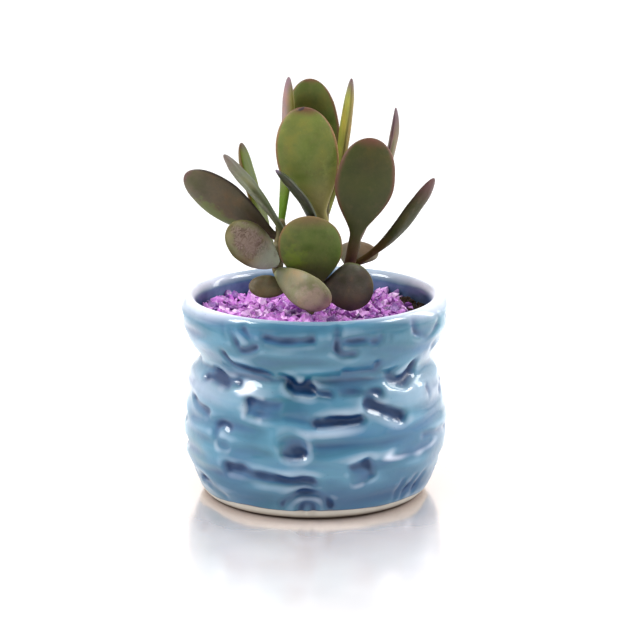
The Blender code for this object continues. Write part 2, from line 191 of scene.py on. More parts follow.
# Tool strokes: width and depth in millimetres, then (angle, height in millimetres) points
STROKES = (
    (2.8, 1.0, ((-20, 64.2), (-10, 63.8), (0, 64.4))),
    (2.8, 1.0, ((10.6, 66.8), (10.8, 60.6), (12.5, 58.9), (17, 59.2))),
    (2.0, 0.9, ((14.8, 63.8), (22.5, 63.3))),
    (2.6, 1.0, ((25.6, 62.9), (27.4, 62.9))),
    (1.6, 0.7, ((29.6, 65.2), (30.2, 62.6))),
    (1.6, 0.5, ((34.2, 64.2), (34.6, 62.2))),
    (2.2, 0.9, ((-36.8, 65.2), (-35.0, 60.4))),
    (2.2, 0.7, ((-31.5, 66.6), (-28.0, 63.8))),
    (2.0, 0.5, ((-41.5, 66.0), (-40.0, 62.5))),
    (2.4, 0.8, ((-33.0, 58.8), (-25.5, 60.2))),
    (2.4, 0.7, ((66.0, 56.2), (69.0, 54.5))),
    (2.0, 1.1, ((-43.5, 57.0), (-42.0, 52.0), (-33, 51.6), (-21.0, 50.6))),
    (2.0, 0.8, ((15.0, 52.0), (34.0, 50.7), (44.0, 50.5))),
    (2.6, 0.6, ((30.6, 55.0), (31.0, 53.0))),
    (3.0, 0.9, ((13.0, 45.0), (33.0, 43.8))),
    (3.8, 1.1, ((2.2, 35.2), (10, 35.2), (21.5, 36.0))),
    (4.2, 1.3, ((25.5, 40.8), (34, 37.6), (42.8, 34.6))),
    (2.4, 0.7, ((55.0, 26.4), (68, 25.6), (80.0, 24.7))),
    (3.8, 1.1, ((-41.8, 16.8), (-33, 17.4), (-28, 16.2), (-14.0, 15.3), (-0.5, 14.9))),
    (3.0, 1.0, ((-70.0, 36.4), (-55.0, 33.8))),
    (2.6, 0.8, ((-66.0, 9.2), (-48.0, 5.6))),
    (2.0, 0.7, ((42.0, 5.4), (45.0, 11.8))),
    (2.2, 0.9, ((47.5, 5.0), (54.0, 12.0))),
    (2.0, 0.8, ((54.5, 6.0), (60.5, 12.2))),
    (3.6, 1.9, ((-10.0, 47.2), (-5.5, 46.0), (-1.0, 45.8))),
    (2.4, 1.5, ((-8.5, 45.0), (-3.0, 48.8))),
    (1.8, 0.9, ((-16.0, 50.2), (-9.0, 48.6))),
    (2.2, 0.9, ((0.0, 45.4), (8.0, 44.4))),
    (2.2, 0.8, ((62.5, 42.5), (64.0, 38.5))),
    (1.8, 1.2, ((-58.0, 47.6), (-46.0, 47.2), (-37.0, 46.0))),
    (1.8, 1.4, ((-64.0, 45.2), (-52.0, 44.8), (-43.0, 43.8))),
)

# Rings and bows pressed with a bent edge: width, depth, middle, half sizes, tilt, and where the bow runs
ARCS = (
    (2.0, 0.8, (57.0, 67.0), 7.5, 6.5, 0, 180, 360),
    (4.4, 1.1, (46.0, 50.2), 5.6, 4.2, 6, 195, 350),
    (2.6, 0.6, (-43.5, 28.6), 3.4, 3.6, 0, 20, 210),
    (2.4, 1.0, (-3.0, 4.0), 8.0, 6.8, 0, 10, 170),
    (3.2, 0.9, (-3.0, 3.6), 2.2, 3.0, 0, 0, 180),
)

# Dents left by a thumb or a leaf-shaped tool: middle, half sizes, tilt, depth, how pale the rim is, partly glaze
# broken thin and partly painted highlight, and the way to its palest side, where the painted highlight lies
DENTS = (
    ((-48.0, 46.0), 10.5, 2.5, -5, 0.8, 1.3, (1.0, -0.4)),
    ((49.5, 23.2), 10.5, 2.3, 1, 0.5, 0.9, (-0.2, -1.0)),
    ((-9.0, 28.0), 5.0, 4.7, 0, 0.9, 0.4, (0.8, -0.6)),
    ((-8.5, 25.0), 4.2, 2.8, 0, 2.2, 0.0, (0.0, 0.0)),
    ((-43.5, 25.0), 3.0, 2.2, 10, 0.5, 0.4, (-0.6, -0.8)),
)

# Stamped blocks: middle, size across and up, turn, depth, and how much deeper the far end is (x, y)
BLOCKS = (
    ((-23.5, 38.8), 13.4, 6.8, -4, 0.95, (-0.8, 0.25)),
    ((21.0, 18.0), 8.8, 8.4, 20, 1.1, (0.7, 0.2)),
)

# Strokes at the two sides, between the front and the back
SIDE_STROKES = (
    (2.8, 0.8, ((78, 64.0), (96, 63.6))),
    (2.6, 0.8, ((84, 50.0), (102, 49.2))),
    (3.6, 1.0, ((80, 38.5), (98, 41.5))),
    (3.4, 0.9, ((86, 14.0), (104, 12.0))),
    (2.6, 0.8, ((-78, 63.0), (-96, 64.0))),
    (2.8, 0.9, ((-76, 50.8), (-100, 49.5))),
    (3.6, 1.0, ((-82, 28.0), (-98, 31.0))),
    (3.4, 0.9, ((-80, 19.0), (-100, 16.5))),
)


# The wall isn't quite round: height, and how far it stands out at its left and at its right
STANDS_OUT = (
    (0, 0.0, 0.2), (6, 0.0, 1.2), (12, 0.0, 0.8), (18, 0.5, 1.2), (24, 0.1, 1.8), (30, 0.5, 2.1),
    (35, 0.6, 1.8), (40, 1.7, 2.3), (45, 0.6, 1.3), (50, -0.4, 1.5), (56, 0.0, 1.3), (62, 0.1, 1.0),
)


def dug(distance, half, depth):
    """How deep a round-nosed tool goes at this distance from its path, and the clay that it pushes up."""
    groove = 1.4 * depth * np.clip(1 - (distance / (1.15 * half)) ** 2, 0, 1) ** 1.1
    return groove, 0.10 * depth * bell(distance, 1.7 * half, 0.6 * half)


def tilted(x, y, degrees):
    """The same place, measured along axes that are turned by this much."""
    lean = math.radians(degrees)
    return x * math.cos(lean) + y * math.sin(lean), y * math.cos(lean) - x * math.sin(lean)


def along_wall(angles, heights, middle):
    """Millimetres across and up from a point on the wall."""
    turn = (angles - middle[0] + 180) % 360 - 180
    return np.radians(turn) * wall_radius(heights / 1000) * 1000, heights - middle[1]


def from_path(angles, heights, points):
    """The distance to a path over the wall, in millimetres."""
    nearest = np.full(angles.shape, np.inf)
    for start, end in zip(points, points[1:]):
        x, y = along_wall(angles, heights, start)
        a, b = along_wall(np.array(end[0], float), np.array(end[1], float), start)
        share = np.clip((x * a + y * b) / (a * a + b * b), 0, 1)
        nearest = np.minimum(nearest, np.hypot(x - share * a, y - share * b))
    return nearest


def arc_path(middle, across, up, tilt, start, end):
    turns = np.radians(np.linspace(start, end, 25))
    x, y = tilted(across * np.cos(turns), up * np.sin(turns), -tilt)
    radius = float(wall_radius(middle[1] / 1000)) * 1000
    return list(zip(middle[0] + np.degrees(x / radius), middle[1] + y))


def pressed(angles, heights):
    """The marks at these places: their depth, the clay raised round them, how far glaze fills them, which also
    sets painted shade in them, and how pale their rims are, partly glaze breaking and partly painted highlight.
    The back has the front's marks, and the sides have their own."""
    deep, raised, filled_and_shaded, broken = np.zeros((4, *angles.shape))
    for turned, side_strokes in ((angles, SIDE_STROKES), (180 - angles, ())):
        marks = [*STROKES, *side_strokes]
        marks += [(width, depth, arc_path(*shape)) for width, depth, *shape in ARCS]
        for width, depth, path in marks:
            groove, burr = dug(from_path(turned, heights, path), width / 2, depth)
            deep = np.maximum(deep, groove)
            filled_and_shaded = np.maximum(filled_and_shaded, groove)
            raised = np.maximum(raised, burr)
        for middle, across, high, tilt, depth, pale, (to_x, to_y) in DENTS:
            x, y = tilted(*along_wall(turned, heights, middle), tilt)
            away = np.hypot(x / across, y / high)
            bowl = depth * np.clip(1.15 - away**2, 0, 1) ** 0.8
            deep = np.maximum(deep, bowl)
            filled_and_shaded = np.maximum(filled_and_shaded, 0.7 * bowl)
            raised = np.maximum(raised, 0.24 * depth * bell(away, 1.3, 0.22))
            # The rim is pale, partly glaze broken thin and partly painted highlight, strongest on the side that
            # the way points to
            side = np.clip(0.55 + 0.5 * (to_x * x / across + to_y * y / high), 0.15, 1)
            broken = np.maximum(broken, pale * (side * bell(away, 1.15, 0.14 + 0.10 * side)))
        for middle, across, high, tilt, depth, (more_x, more_y) in BLOCKS:
            x, y = tilted(*along_wall(turned, heights, middle), tilt)
            inside = np.minimum(across / 2 - np.abs(x), high / 2 - np.abs(y))
            floor = depth + more_x * x / across * 2 * depth + more_y * y / high * 2 * depth
            deep = np.maximum(deep, np.clip(inside / 0.9 + 0.3, 0, 1) * np.clip(floor, 0.1, None))
            raised = np.maximum(raised, 0.16 * bell(inside, -0.8, 0.6))
            # The block's left rim is pale, partly glaze broken thin and partly painted highlight
            broken = np.maximum(broken, 0.5 * bell(inside, -0.4, 0.7) * (x < 0))
    return deep, raised * (deep < 0.05), filled_and_shaded, broken


def blurred(values, columns, rows):
    """The grid's values averaged over this many columns (it closes on itself) and rows."""
    for _ in range(2):
        values = sum(np.roll(values, i, 1) for i in range(-columns, columns + 1)) / (2 * columns + 1)
        padded = np.pad(values, ((rows, rows), (0, 0)), mode="edge")
        values = sum(padded[i:i + len(values)] for i in range(2 * rows + 1)) / (2 * rows + 1)
    return values


def pot_section():
    """The closed outline of the pot: radius and height, and the share of the marks that each row takes."""
    up = np.linspace(0.0006, LIP_START, OUTER_ROWS)
    outer = [(r, z, min(1, z / 0.003)) for r, z in zip(soft_wall(up), up)]
    outer[0] = (soft_wall([0.0006])[0] - 0.0003, 0.0006, 0)
    crest = soft_wall([LIP_START])[0] - WALL / 2
    turns = np.radians(np.linspace(0, 180, LIP_ROWS + 1))[1:]
    lip = [
        (crest + WALL / 2 * math.cos(a), LIP_START + LIP_RISE * math.sin(a), max(0, math.cos(a)))
        for a in turns
    ]
    down = np.concatenate([np.linspace(0.065, 0.056, 11), np.linspace(0.051, 0.012, 8)])
    inner = [(r - WALL, z) for r, z in zip(soft_wall(down), down)]
    floor = [(r, FLOOR) for r in (0.033, 0.020, 0.006, DRAIN_RADIUS)]
    drain = [(DRAIN_RADIUS, 0.0045), *((r, FOOT_RECESS) for r in (DRAIN_RADIUS, 0.012, 0.028))]
    ring = [(0.0292, 0.0012), (0.0303, 0.0001), (0.0312, 0.0), (0.0352, 0.0), (0.0364, 0.0001)]
    return np.array(outer + lip + [(r, z, 0) for r, z in inner + floor + drain + ring])


section = pot_section()
rows = len(section)
steps = np.arange(COLUMNS) / COLUMNS * 2 * np.pi
column_angles = np.degrees(steps - FRONT_CROWDING * np.sin(steps))
angles, heights = np.meshgrid(column_angles, section[:, 1] * 1000)
shares = np.repeat(section[:, 2:3], COLUMNS, 1)
turns = np.radians(angles)


def over_wall(value_at):
    """The grid of what this gives at each place: its direction's x and y, and its height in millimetres."""
    lines = zip(turns, heights)
    return np.array([[value_at(math.sin(a), -math.cos(a), h) for a, h in zip(*line)] for line in lines])


# Hand-made unevenness: the marks' edges wander, and the whole wall is a little lumpy
wander = over_wall(
    lambda x, y, h: [noise.noise((7 * x + i, 7 * y + 3 * i, h / 4.5 + 20 * i)) for i in (1, 2, 3)])
lumps = over_wall(
    lambda x, y, h: 0.6 * noise.noise((2.4 * x, 2.4 * y, h / 10 + 5))
    + 0.85 * noise.noise((2.1 * x, 2.1 * y, h / 4.2 + 9)))
deep, raised, filled_and_shaded, broken = pressed(angles + wander[..., 0] * 1.6, heights + wander[..., 1] * 1.0)
relief = (raised - deep * (1 + 0.7 * wander[..., 2])) * shares
relief = 0.3 * blurred(relief, 1, 1) + 0.7 * blurred(relief, 2, 2)
lip_groove = -0.22 * bell(heights, 66.3, 0.5) * shares
uneven = (0.25 + 0.75 * shares) * np.minimum(1, heights / 8) * lumps
stand_heights, at_left, at_right = zip(*STANDS_OUT)
oval = np.interp(heights, stand_heights, at_left) * np.clip(-np.sin(turns), 0, 1) ** 2
oval += np.interp(heights, stand_heights, at_right) * np.clip(np.sin(turns), 0, 1) ** 2
radii = section[:, 0:1] + (relief + lip_groove + uneven + oval * shares) / 1000
pot_vertices = np.stack([radii * np.sin(turns), -radii * np.cos(turns), heights / 1000], -1).reshape(-1, 3)
pot_faces = []
for row in range(rows):
    after = (row + 1) % rows
    for column in range(COLUMNS):
        beside = (column + 1) % COLUMNS
        corners = (row, column), (row, beside), (after, beside), (after, column)
        pot_faces.append([r * COLUMNS + c for r, c in corners])

# Where the glaze is dark and pale: dark in the marks, partly glaze pooled thick and partly painted shade, and
# pale on edges, partly glaze broken thin and partly painted highlight
shape = relief + uneven
pool_and_shade = np.clip((blurred(shape, 5, 6) - shape) / 0.75, 0, 1)
filled_and_shaded = blurred(filled_and_shaded * np.clip(0.95 + 0.6 * wander[..., 2] - 0.3 * lumps, 0.5, 1.3), 2, 2) * shares
# Painted shade: the marks' dark is moved one row up, onto their upper walls that face down away from the light
pool_and_shade = np.maximum(pool_and_shade, np.clip((np.roll(filled_and_shaded, 1, 0) - 0.2) / 0.95, 0, 1))
# Darker along the neck crease, partly glaze pooled there and partly painted shade
crease = bell(heights + 0.8 * lumps, 48.4, 1.3) * np.clip(0.75 - 0.9 * lumps, 0.1, 1)
pool_and_shade = np.maximum(pool_and_shade, 0.62 * crease * shares)
# A band darker towards the bottom, a little above the glaze line
pool_and_shade = np.maximum(pool_and_shade, 0.52 * bell(heights, 8, 6) * shares)
# Darker in broad hollows and paler on broad bumps, partly glaze lying thick and thin, partly painted shade and
# light
hollow = np.clip(0.5 - (shape - blurred(shape, 16, 14)) / 1.1, 0, 1)
thin_and_highlight = np.clip((shape - blurred(shape, 4, 5)) / 0.5 - 0.15, 0, 1) * 0.35
# Painted highlight on the edges just below the marks, where their lower walls face up to the light
thin_and_highlight = np.maximum(thin_and_highlight, 0.2 * np.clip(np.roll(filled_and_shaded, -4, 0) - 1.5 * filled_and_shaded, 0, 1))
# The dents' and blocks' pale rims, partly glaze broken thin and partly painted highlight
thin_and_highlight = np.maximum(thin_and_highlight, broken * shares * np.clip(0.7 + 1.5 * wander[..., 1], 0, 1) * (1 - pool_and_shade))
# Painted highlight: a pale band on the shoulders at the two sides, where the side lamps reflect
shoulder_highlight = bell(heights, 41, 4.5) * np.sin(turns) ** 2 * shares
thin_and_highlight = blurred(np.maximum(thin_and_highlight, 0.36 * shoulder_highlight * (1 - pool_and_shade)), 1, 1)
# The lip's crest is pale, partly glaze broken thin on the rim and partly painted highlight, broader and paler at
# the two sides and weaker at the back
row_numbers = np.arange(rows)[:, None] * np.ones(COLUMNS)
aside = np.clip(1.3 * np.sin(turns) ** 2, 0, 1)
behind = np.clip(-1.5 * np.cos(turns) - 0.2, 0, 1)
spread = np.where(row_numbers < PALEST_ROW, 2.6 + 5.4 * aside, 3)
thin_and_highlight = np.maximum(thin_and_highlight, bell(row_numbers, PALEST_ROW, spread) * (0.85 + 0.25 * aside - 0.55 * behind))
inside = np.clip((row_numbers - LINED_FROM) / 4, 0, 1) * (section[:, 1:2] > 0.007)
glaze_line = 3.4 + 0.4 * np.sin(3 * turns + 1) + 0.3 * np.sin(8 * turns) + 0.8 * lumps
bare = np.clip((glaze_line - heights) / 0.35 + 0.5, 0, 1) * (1 - inside)

glaze_material, tree, shader = new_material("blue glaze", {
    "Metallic": 0.0,
    "IOR": 1.5,
    "Specular IOR Level": 0.22,
    "Coat Weight": 0.55,
    "Coat Roughness": 0.05,
})
place = own_place(tree)
cloudy = noisy(tree, place, 55.0, 4.0)
patchy = noisy(tree, place, 24.0, 2.0)
streaked = noisy(tree, stretched(tree, place, 1, 1, 4), 26.0, 4.0)
speck = put(tree, "ShaderNodeTexVoronoi", {"Vector": place, "Scale": 420.0}).outputs["Distance"]
height = put(tree, "ShaderNodeSeparateXYZ", {0: place}).outputs["Z"]
hollow_share, bare_share, lined = (attribute(tree, key) for key in ("hollow", "bare", "inside"))
pooled_and_shaded = calculated(tree, "MULTIPLY", attribute(tree, "pool_and_shade"), ranged(tree, cloudy, 0.2, 0.6, 0.75, 1.0))
thinned_and_highlight = calculated(tree, "MULTIPLY", attribute(tree, "thin_and_highlight"), ranged(tree, cloudy, 0.25, 0.6, 0.65, 1.0))
body = layered(
    tree, colour(32, 88, 107),
    (patchy, 0.35, 0.65, (33, 82, 113)),
    (cloudy, 0.4, 0.7, 0, 0.4, (58, 111, 132)),
    (streaked, 0.5, 0.7, 0, 0.6, (40, 86, 130)),
    # Painted shade in broad hollows and painted light on broad bumps, partly glaze lying thick and thin
    (hollow_share, 0.5, 0.95, 0, 0.75, (30, 72, 112)),
    (hollow_share, 0.45, 0.1, 0, 0.45, (82, 134, 158)),
    # Dark where the glaze pools in the marks and the crease, partly real pooling and partly painted shade
    (pooled_and_shaded, 0.1, 0.7, 0, 0.75, (12, 60, 96)),
    (pooled_and_shaded, 0.35, 0.95, 0, 0.92, (0, 32, 70)),
)
lining = layered(tree, colour(54, 76, 118), (cloudy, 0.38, 0.62, (104, 128, 164)))
body = layered(
    tree, blended(tree, lined, body, lining),
    # Pale where the glaze breaks thin, partly real and partly painted highlight on edges, shoulders and the lip
    (thinned_and_highlight, 0.05, 0.9, 0, 0.95, (226, 228, 242)),
    (speck, 0.0, 0.16, 0.25, 0.0, (30, 50, 84)),
)
clay = blended(tree, noisy(tree, place, 160.0), colour(164, 156, 146), colour(192, 184, 172))
clay = layered(tree, clay, (height, 0.0002, 0.0022, 1, 0, (112, 92, 78)))
skin = blended(tree, ranged(tree, bare_share, 0.45, 0.6), body, clay)
from_edge = calculated(tree, "ABSOLUTE", calculated(tree, "SUBTRACT", bare_share, 0.45))
skin = layered(tree, skin, (from_edge, 0, 0.4, 0.8, 0, (70, 62, 74)))
gloss = calculated(
    tree, "ADD", ranged(tree, cloudy, 0.3, 0.7, 0.30, 0.40), ranged(tree, pooled_and_shaded, 0.2, 0.8, 0, 0.08))
gloss = calculated(tree, "ADD", gloss, ranged(tree, lined, 0, 1, 0, 0.2))
gloss = calculated(tree, "MAXIMUM", gloss, ranged(tree, bare_share, 0.4, 0.6, 0, 0.8))
grain = calculated(tree, "MULTIPLY", calculated(tree, "MULTIPLY", noisy(tree, place, 900.0), bare_share), 1.5)
dimples = calculated(tree, "ADD", noisy(tree, place, 230.0, 2.0), grain)
surface(tree, shader, skin, gloss, dimples, 0.25, 0.0004)
# The clear top layer of the glaze is lost where it pools thick and where the clay is bare
thick = calculated(tree, "MAXIMUM", bare_share, ranged(tree, pooled_and_shaded, 0.25, 0.85, 0.0, 0.47))
tree.links.new(ranged(tree, thick, 0.25, 0.5, 0.55, 0), shader.inputs["Coat Weight"])
glaze_values = {"pool_and_shade": pool_and_shade, "hollow": hollow, "thin_and_highlight": thin_and_highlight, "inside": inside, "bare": bare}
glaze_values = {key: values.ravel() for key, values in glaze_values.items()}
pot = piece("glazed_pot", pot_vertices.tolist(), pot_faces, glaze_material, glaze_values)
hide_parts("pot")
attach(pot, "root")


# The potting soil
# A plug of dark, crumbly compost that fills the pot up to the gravel. Only some crumbs of it show, at the
# back on the right, where the gravel thins out beside the wall.

def crumb(name, seed, size, points, stretch=(1, 1, 1)):
    """A broken lump: the hull of scattered points."""
    rng = np.random.default_rng(seed)
    bm = bmesh.new()
    for _ in range(points):
        way = Vector(rng.normal(size=3)).normalized() * rng.uniform(0.75, 1.1)
        bm.verts.new([way[i] * stretch[i] * size / 2 for i in range(3)])
    bmesh.ops.convex_hull(bm, input=bm.verts)
    bmesh.ops.delete(bm, geom=[v for v in bm.verts if not v.link_faces], context="VERTS")
    bmesh.ops.recalc_face_normals(bm, faces=bm.faces)
    mesh = bpy.data.meshes.new(name)
    bm.to_mesh(mesh)
    bm.free()
    return bpy.data.objects.new(name, mesh)


def add_sockets(tree, in_out, kind, *names):
    for name in names:
        tree.interface.new_socket(name, in_out=in_out, socket_type="NodeSocket" + kind)


def scatter_tree(name, lumps, material):
    """Lumps strewn over the mesh that carries the modifier, each turned at random and with its own number."""
    tree = bpy.data.node_groups.new(name, "GeometryNodeTree")
    add_sockets(tree, "INPUT", "Geometry", "Geometry")
    add_sockets(tree, "INPUT", "Float", "Spacing", "Density", "Smallest", "Largest", "Sunk")
    add_sockets(tree, "INPUT", "Int", "Seed")
    add_sockets(tree, "OUTPUT", "Geometry", "Geometry")
    given = put(tree, "NodeGroupInput").outputs
    spots = put(tree, "GeometryNodeDistributePointsOnFaces", {
        "Mesh": given["Geometry"], "Distance Min": given["Spacing"], "Density Max": given["Density"],
        "Density Factor": put(tree, "GeometryNodeInputNamedAttribute", {"Name": "strewn"}).outputs[0],
        "Seed": given["Seed"],
    }, distribute_method="POISSON")
    kinds = put(tree, "GeometryNodeJoinGeometry")
    for lump in reversed(lumps):
        shape = put(tree, "GeometryNodeObjectInfo", {"Object": lump}).outputs["Geometry"]
        shape = put(tree, "GeometryNodeGeometryToInstance", {"Geometry": shape}).outputs[0]
        tree.links.new(shape, kinds.inputs[0])
    turn = put(tree, "FunctionNodeRandomValue", {
        0: (0, 0, 0), 1: (6.283, 6.283, 6.283), "Seed": given["Seed"]}, data_type="FLOAT_VECTOR").outputs[0]
    size = put(tree, "FunctionNodeRandomValue", {
        2: given["Smallest"], 3: given["Largest"], "Seed": given["Seed"]}, data_type="FLOAT").outputs[1]
    strewn = put(tree, "GeometryNodeInstanceOnPoints", {
        "Points": spots.outputs["Points"], "Instance": kinds.outputs[0], "Pick Instance": True,
        "Rotation": turn, "Scale": size,
    }).outputs[0]
    own = put(tree, "FunctionNodeRandomValue", {2: 0.0, 3: 1.0, "Seed": 5}, data_type="FLOAT").outputs[1]
    strewn = put(tree, "GeometryNodeStoreNamedAttribute", {
        "Geometry": strewn, "Name": "own_number", "Value": own}, data_type="FLOAT", domain="INSTANCE").outputs[0]
    depth = put(tree, "ShaderNodeCombineXYZ", {"Z": given["Sunk"]}).outputs[0]
    strewn = put(tree, "GeometryNodeTranslateInstances", {
        "Instances": strewn, "Translation": depth, "Local Space": False}).outputs[0]
    real = put(tree, "GeometryNodeRealizeInstances", {"Geometry": strewn}).outputs[0]
    real = put(tree, "GeometryNodeSetMaterial", {"Geometry": real, "Material": material}).outputs[0]
    put(tree, "NodeGroupOutput", {0: real})
    return tree


def strewn_mesh(name, bed, tree, **values):
    """The plain mesh that the scatter tree makes on the bed."""
    carrier = placed(name + "_bed", bed)
    modifier = carrier.modifiers.new("Strewn", "NODES")
    modifier.node_group = tree
    for socket in tree.interface.items_tree:
        if socket.in_out == "INPUT" and socket.name in values:
            modifier[socket.identifier] = values[socket.name]
    carrier.update_tag()
    graph = bpy.context.evaluated_depsgraph_get()
    mesh = bpy.data.meshes.new_from_object(carrier.evaluated_get(graph))
    mesh.name = name
    bpy.data.objects.remove(carrier)
    return placed(name, mesh)


def top_dressing(x, y):
    """The gravel's height: dished a little, and heaped on the left and at the back on the right."""
    reach = np.hypot(x, y) / 0.039
    heap = np.exp(-(((x - 0.020) / 0.018) ** 2 + ((y - 0.024) / 0.014) ** 2))
    heap += 1.3 * np.exp(-(((x + 0.032) / 0.010) ** 2 + ((y - 0.002) / 0.018) ** 2))
    return 0.0606 + 0.0012 * reach**2 + 0.0012 * heap


def bed_mesh(name, radius, strewn, rings=26, spokes=72):
    """A disc that follows the dressing's height, each vertex with the share of lumps that lie there."""
    vertices = [(0, 0, float(top_dressing(0, 0)))]
    for i in range(1, rings + 1):
        for j in range(spokes):
            turn = 2 * math.pi * j / spokes
            x, y = radius * i / rings * math.sin(turn), -radius * i / rings * math.cos(turn)
            vertices.append((x, y, float(top_dressing(x, y))))
    faces = [(0, 1 + j, 1 + (j + 1) % spokes) for j in range(spokes)]
    for i in range(rings - 1):
        for j in range(spokes):
            low, next_low = 1 + i * spokes + j, 1 + i * spokes + (j + 1) % spokes
            faces.append((low, low + spokes, next_low + spokes, next_low))
    mesh = bpy.data.meshes.new(name)
    mesh.from_pydata(vertices, [], faces)
    layer = mesh.attributes.new("strewn", "FLOAT", "POINT")
    layer.data.foreach_set("value", [strewn(x, y) for x, y, _ in vertices])
    return mesh


def bare_corner(x, y):
    """1 in the strip beside the wall, at the back on the right, where soil shows instead of gravel."""
    angle = math.degrees(math.atan2(x, -y))
    along = max(0, 1 - abs(angle - 108) / 26)
    return min(1, 2 * along) * min(1, max(0, (math.hypot(x, y) - 0.0335) / 0.002))


soil_material, tree, shader = new_material("dark compost", {"Metallic": 0.0, "Specular IOR Level": 0.25})
place = own_place(tree)
grit = noisy(tree, place, 380.0, 6.0, 0.7)
fibre = noisy(tree, stretched(tree, place, 1, 0.2, 1), 900.0)
body = layered(
    tree, colour(28, 19, 14), (grit, 0.35, 0.7, (78, 58, 44)), (fibre, 0.62, 0.75, 0, 0.6, (122, 96, 66)))
surface(tree, shader, body, ranged(tree, grit, 0.3, 0.7, 0.8, 1.0), grit, 0.9, 0.001)
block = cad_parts["potting_soil"]
block.data.materials.clear()
block.data.materials.append(soil_material)

soil_lumps = [crumb(f"crumb_{i}", 40 + i, 0.0020, 12) for i in range(3)]
soil_bed = bed_mesh("soil_bed", 0.0392, bare_corner)
crumbs = strewn_mesh(
    "compost_crumbs", soil_bed, scatter_tree("strewn soil", soil_lumps, soil_material),
    Spacing=0.0009, Density=2500000.0, Smallest=0.5, Largest=1.5, Sunk=0.0006, Seed=3,
)
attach(crumbs, "root")


# The gravel
# Crushed quartz, dyed purple, poured over the soil as a loose dressing. Fresh faces of the chips catch
# the light pale lilac, and the dye has gathered darker in their pits. The gaps show a dark base under the chips,
# painted shade where the gravel below lies in shade.

gravel_material, tree, shader = new_material("dyed quartz", {
    "Metallic": 0.0,
    "Subsurface Weight": 0.25,
    "Subsurface Radius": (0.8, 0.35, 0.9),
    "Subsurface Scale": 0.0012,
    "Specular IOR Level": 0.6,
})
place = own_place(tree)
own_number = attribute(tree, "own_number")
veins = noisy(tree, place, 520.0, 4.0, 0.65)
body = layered(
    tree, blended(tree, own_number, colour(150, 72, 168), colour(198, 114, 202)),
    (own_number, 0.72, 1.0, 0, 0.75, (240, 212, 244)),
    (own_number, 0.28, 0.08, 0, 0.85, (96, 46, 128)),
    (veins, 0.5, 0.72, 0, 0.6, (228, 190, 236)),
    (veins, 0.45, 0.28, 0, 0.7, (112, 52, 142)),
)
surface(tree, shader, body, ranged(tree, veins, 0.3, 0.7, 0.22, 0.5), veins, 0.6, 0.0006)

# Painted shade: a dark base under the chips that shows in the gaps, where the gravel below lies in shade
gap_material, tree, shader = new_material("painted gap shade", {"Metallic": 0.0})
gap_shade_noise = noisy(tree, own_place(tree), 480.0, 5.0, 0.7)
body = layered(tree, colour(30, 12, 36), (gap_shade_noise, 0.35, 0.65, (92, 44, 106)))
surface(tree, shader, body, ranged(tree, gap_shade_noise, 0.3, 0.7, 0.7, 0.95), gap_shade_noise, 0.8, 0.001)

chips = [
    crumb("chip_0", 1, 0.0038, 9, (1, 0.85, 0.7)),
    crumb("chip_1", 2, 0.0038, 10, (0.9, 0.7, 0.9)),
    crumb("chip_2", 3, 0.0038, 11, (1.05, 0.8, 0.75)),
    crumb("chip_3", 4, 0.0038, 8, (0.8, 0.8, 0.8)),
    crumb("chip_4", 5, 0.0038, 12, (1, 0.95, 0.65)),
]
gravel_bed = bed_mesh("gravel_bed", 0.0388, lambda x, y: 1 - bare_corner(x, y))
gravel = strewn_mesh(
    "gravel_chips", gravel_bed, scatter_tree("strewn gravel", chips, gravel_material),
    Spacing=0.0018, Density=900000.0, Smallest=0.75, Largest=1.8, Sunk=0.0006, Seed=11,
)
under = bed_mesh("gravel_base", 0.0392, bare_corner)
bm = bmesh.new()
bm.from_mesh(under)
bottom = bmesh.ops.extrude_face_region(bm, geom=bm.faces[:])
low = [v for v in bottom["geom"] if isinstance(v, bmesh.types.BMVert)]
bmesh.ops.translate(bm, vec=(0, 0, -0.003), verts=low)
bmesh.ops.recalc_face_normals(bm, faces=bm.faces)
bm.to_mesh(under)
bm.free()
under.materials.append(gap_material)
base = placed("gravel_base", under)
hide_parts("gravel")
for part in (gravel, base):
    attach(part, "root")


# The stem
# A short woody trunk with three green-brown branches, thickened where leaves once sat. It carries ring
# scars and fine bark, and is hidden for the most part by the lower leaves.

STEMS = {
    "trunk": (0.0030, 0.0026, ((0.0, 0.004, 0.050), (0.0, 0.004, 0.060), (0.0, 0.004, 0.072))),
    "left": (0.0023, 0.0017, (
        (0.0, 0.004, 0.067), (-0.0065, 0.0035, 0.0715), (-0.0125, 0.003, 0.077),
        (-0.0125, 0.003, 0.0835), (-0.0117, 0.0035, 0.088), (-0.0112, 0.0042, 0.0925),
    )),
    "centre": (0.0024, 0.0017, (
        (0.0, 0.004, 0.067), (0.0018, 0.005, 0.08), (0.0032, 0.006, 0.09),
        (0.004, 0.007, 0.101),
    )),
    "right": (0.0023, 0.0018, (
        (0.0, 0.004, 0.067), (0.006, 0.005, 0.072), (0.012, 0.0055, 0.077),
        (0.0145, 0.006, 0.086),
    )),
}


def stem_place(stem, height):
    """The stem's middle and radius at this height."""
    first, last, route = STEMS[stem]
    low, high = next((pair for pair in zip(route, route[1:]) if height <= pair[1][2] + 1e-9))
    share = (height - low[2]) / (high[2] - low[2])
    along = (height - route[0][2]) / (route[-1][2] - route[0][2])
    return Vector(low).lerp(Vector(high), share), first + (last - first) * along


